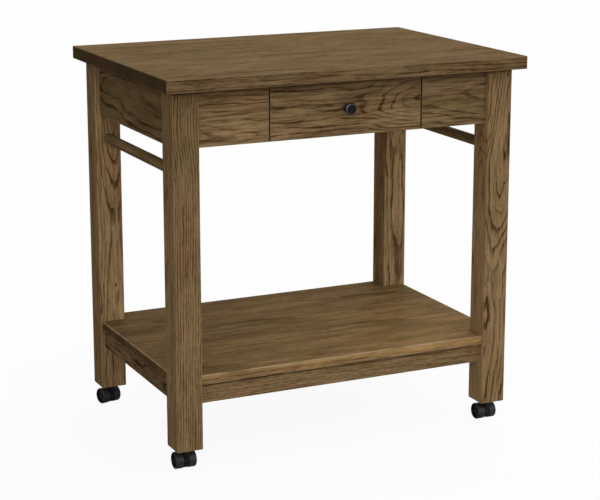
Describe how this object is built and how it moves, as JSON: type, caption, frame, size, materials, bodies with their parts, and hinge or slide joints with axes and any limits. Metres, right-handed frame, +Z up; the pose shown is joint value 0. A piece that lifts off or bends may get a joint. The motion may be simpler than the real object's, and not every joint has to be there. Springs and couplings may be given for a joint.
{
  "type": "kitchen cart",
  "caption": "Square-legged oak kitchen cart with overhanging top, flush drawer, side towel bars, low shelf and twin-wheel swivel casters.",
  "frame": {"origin": "on the floor under the middle of the worktop", "axes": "+X to the cart's right seen from the front, +Y to its back, +Z up"},
  "size_m": [0.914, 0.64, 0.914],
  "materials": {
    "stained_oak": "satin brown stain, open grain",
    "drawer_box_wood": "clear sealed, unstained",
    "black_metal": "satin black",
    "zinc_steel": "zinc plated",
    "caster_plastic": "black moulded nylon",
    "wheel_plastic": "black moulded nylon tread"
  },
  "bodies": {
    "cart": {"worktop": "stained_oak", "shelf": "stained_oak", "back_apron": "stained_oak", "back_cleat": "drawer_box_wood", "shelf_cleat_front": "drawer_box_wood", "shelf_cleat_back": "drawer_box_wood", "front_top_rail": "stained_oak", "front_bottom_rail": "stained_oak", "front_apron_left": "stained_oak", "front_apron_right": "stained_oak", "side_apron_left": "stained_oak", "side_apron_right": "stained_oak", "lower_rail_front": "stained_oak", "lower_rail_back": "stained_oak", "lower_rail_left": "stained_oak", "lower_rail_right": "stained_oak", "towel_bar_left": "stained_oak", "towel_bar_right": "stained_oak", "drawer_runner_left": "drawer_box_wood", "drawer_runner_right": "drawer_box_wood", "drawer_kicker_left": "drawer_box_wood", "drawer_kicker_right": "drawer_box_wood", "leg_front_left": "stained_oak", "leg_front_right": "stained_oak", "leg_back_left": "stained_oak", "leg_back_right": "stained_oak", "corner_block_front_left": "drawer_box_wood", "corner_block_front_right": "drawer_box_wood", "corner_block_back_left": "drawer_box_wood", "corner_block_back_right": "drawer_box_wood", "corner_bolts": "zinc_steel", "frame_screws": "zinc_steel", "caster_sockets": "zinc_steel"},
    "drawer": {"drawer_front": "stained_oak", "drawer_box_front": "drawer_box_wood", "drawer_side_left": "drawer_box_wood", "drawer_side_right": "drawer_box_wood", "drawer_back": "drawer_box_wood", "drawer_bottom": "drawer_box_wood", "drawer_stop": "drawer_box_wood", "drawer_knob": "black_metal", "knob_screw": "zinc_steel", "drawer_screws": "zinc_steel"},
    "caster_front_left": {"caster_front_left_swivel": "caster_plastic", "caster_front_left_axle": "zinc_steel"},
    "caster_front_left_wheel_left": {"caster_front_left_wheel_left": "wheel_plastic"},
    "caster_front_left_wheel_right": {"caster_front_left_wheel_right": "wheel_plastic"},
    "caster_front_right": {"caster_front_right_swivel": "caster_plastic", "caster_front_right_axle": "zinc_steel"},
    "caster_front_right_wheel_left": {"caster_front_right_wheel_left": "wheel_plastic"},
    "caster_front_right_wheel_right": {"caster_front_right_wheel_right": "wheel_plastic"},
    "caster_back_left": {"caster_back_left_swivel": "caster_plastic", "caster_back_left_axle": "zinc_steel"},
    "caster_back_left_wheel_left": {"caster_back_left_wheel_left": "wheel_plastic"},
    "caster_back_left_wheel_right": {"caster_back_left_wheel_right": "wheel_plastic"},
    "caster_back_right": {"caster_back_right_swivel": "caster_plastic", "caster_back_right_axle": "zinc_steel"},
    "caster_back_right_wheel_left": {"caster_back_right_wheel_left": "wheel_plastic"},
    "caster_back_right_wheel_right": {"caster_back_right_wheel_right": "wheel_plastic"}
  },
  "joints": [
    {"name": "drawer_slide", "type": "slide", "parent": "cart", "child": "drawer", "axis": [0, -1, 0], "range_m": [0, 0.347]},
    {"name": "caster_front_left_turn", "type": "hinge", "parent": "cart", "child": "caster_front_left", "pos_m": [-0.402, -0.258, 0.045], "axis": [0, 0, 1], "continuous": true},
    {"name": "caster_front_left_wheel_left_spin", "type": "hinge", "parent": "caster_front_left", "child": "caster_front_left_wheel_left", "pos_m": [-0.418, -0.248, 0.02], "axis": [1, 0, 0], "continuous": true},
    {"name": "caster_front_left_wheel_right_spin", "type": "hinge", "parent": "caster_front_left", "child": "caster_front_left_wheel_right", "pos_m": [-0.386, -0.248, 0.02], "axis": [1, 0, 0], "continuous": true},
    {"name": "caster_front_right_turn", "type": "hinge", "parent": "cart", "child": "caster_front_right", "pos_m": [0.402, -0.258, 0.045], "axis": [0, 0, 1], "continuous": true},
    {"name": "caster_front_right_wheel_left_spin", "type": "hinge", "parent": "caster_front_right", "child": "caster_front_right_wheel_left", "pos_m": [0.386, -0.248, 0.02], "axis": [1, 0, 0], "continuous": true},
    {"name": "caster_front_right_wheel_right_spin", "type": "hinge", "parent": "caster_front_right", "child": "caster_front_right_wheel_right", "pos_m": [0.418, -0.248, 0.02], "axis": [1, 0, 0], "continuous": true},
    {"name": "caster_back_left_turn", "type": "hinge", "parent": "cart", "child": "caster_back_left", "pos_m": [-0.402, 0.258, 0.045], "axis": [0, 0, 1], "continuous": true},
    {"name": "caster_back_left_wheel_left_spin", "type": "hinge", "parent": "caster_back_left", "child": "caster_back_left_wheel_left", "pos_m": [-0.41984, 0.26414, 0.02], "axis": [0.9744, 0.225, 0], "continuous": true},
    {"name": "caster_back_left_wheel_right_spin", "type": "hinge", "parent": "caster_back_left", "child": "caster_back_left_wheel_right", "pos_m": [-0.38866, 0.27134, 0.02], "axis": [0.9744, 0.225, 0], "continuous": true},
    {"name": "caster_back_right_turn", "type": "hinge", "parent": "cart", "child": "caster_back_right", "pos_m": [0.402, 0.258, 0.045], "axis": [0, 0, 1], "continuous": true},
    {"name": "caster_back_right_wheel_left_spin", "type": "hinge", "parent": "caster_back_right", "child": "caster_back_right_wheel_left", "pos_m": [0.38755, 0.27013, 0.02], "axis": [0.9903, -0.1392, 0], "continuous": true},
    {"name": "caster_back_right_wheel_right_spin", "type": "hinge", "parent": "caster_back_right", "child": "caster_back_right_wheel_right", "pos_m": [0.41924, 0.26568, 0.02], "axis": [0.9903, -0.1392, 0], "continuous": true}
  ]
}
